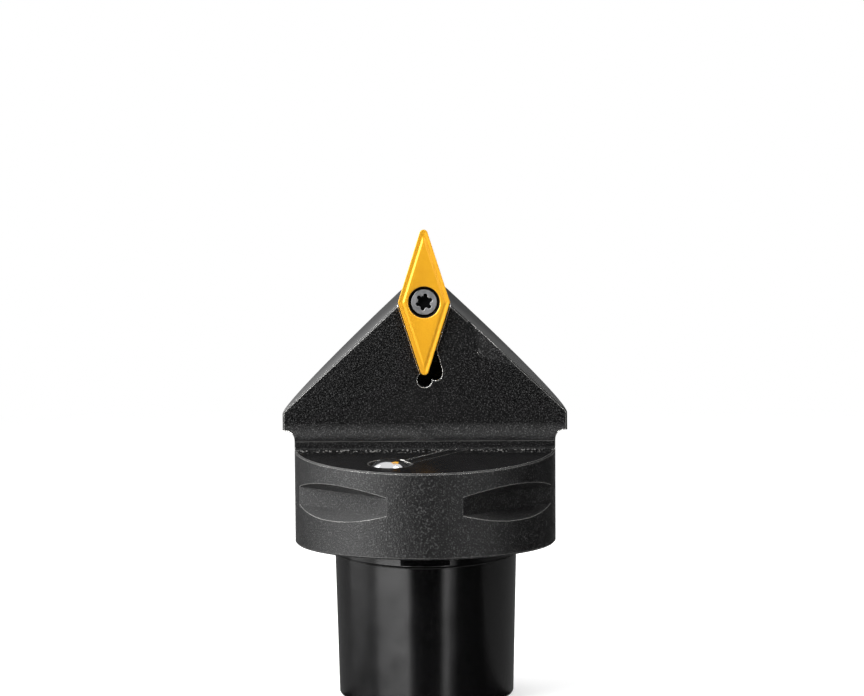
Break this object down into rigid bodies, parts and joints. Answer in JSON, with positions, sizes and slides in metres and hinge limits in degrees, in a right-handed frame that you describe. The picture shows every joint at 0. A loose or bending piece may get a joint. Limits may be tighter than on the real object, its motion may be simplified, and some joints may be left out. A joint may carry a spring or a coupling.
{
  "type": "modular boring and turning head",
  "caption": "Boring and turning head: lobed taper shank, grooved flange, arrowhead block, clamped rhombic insert on a shim, swivel coolant nozzle.",
  "frame": {"origin": "centre of the gauge face, where the flange seats on the spindle, on the tool axis and inside the centre bolt's bore", "axes": "+Z along the tool axis from the shank to the cutting tip, -Y the side the insert's rake face looks at, +X to the right seen from that side"},
  "size_m": [0.0546, 0.0523, 0.09],
  "materials": {
    "black_steel": "black oxide on milled and turned steel, satin",
    "coated_carbide": "gold yellow hard coating, semi-gloss",
    "bright_steel": "hardened screw steel, fine turned grain",
    "bare_carbide": "ground, uncoated",
    "dark_steel": "blackened, oiled",
    "polished_steel": "polished ball"
  },
  "bodies": {
    "holder": {"holder_body": "black_steel", "cutting_insert": "coated_carbide", "insert_screw": "bright_steel", "shim": "bare_carbide", "shim_screw": "dark_steel"},
    "nozzle": {"coolant_nozzle": "polished_steel"}
  },
  "joints": [
    {"name": "nozzle_aim", "type": "hinge", "parent": "holder", "child": "nozzle", "pos_m": [-0.00649, -0.01528, 0.01251], "axis": [1, 0, 0], "range_deg": [-12, 12]}
  ]
}
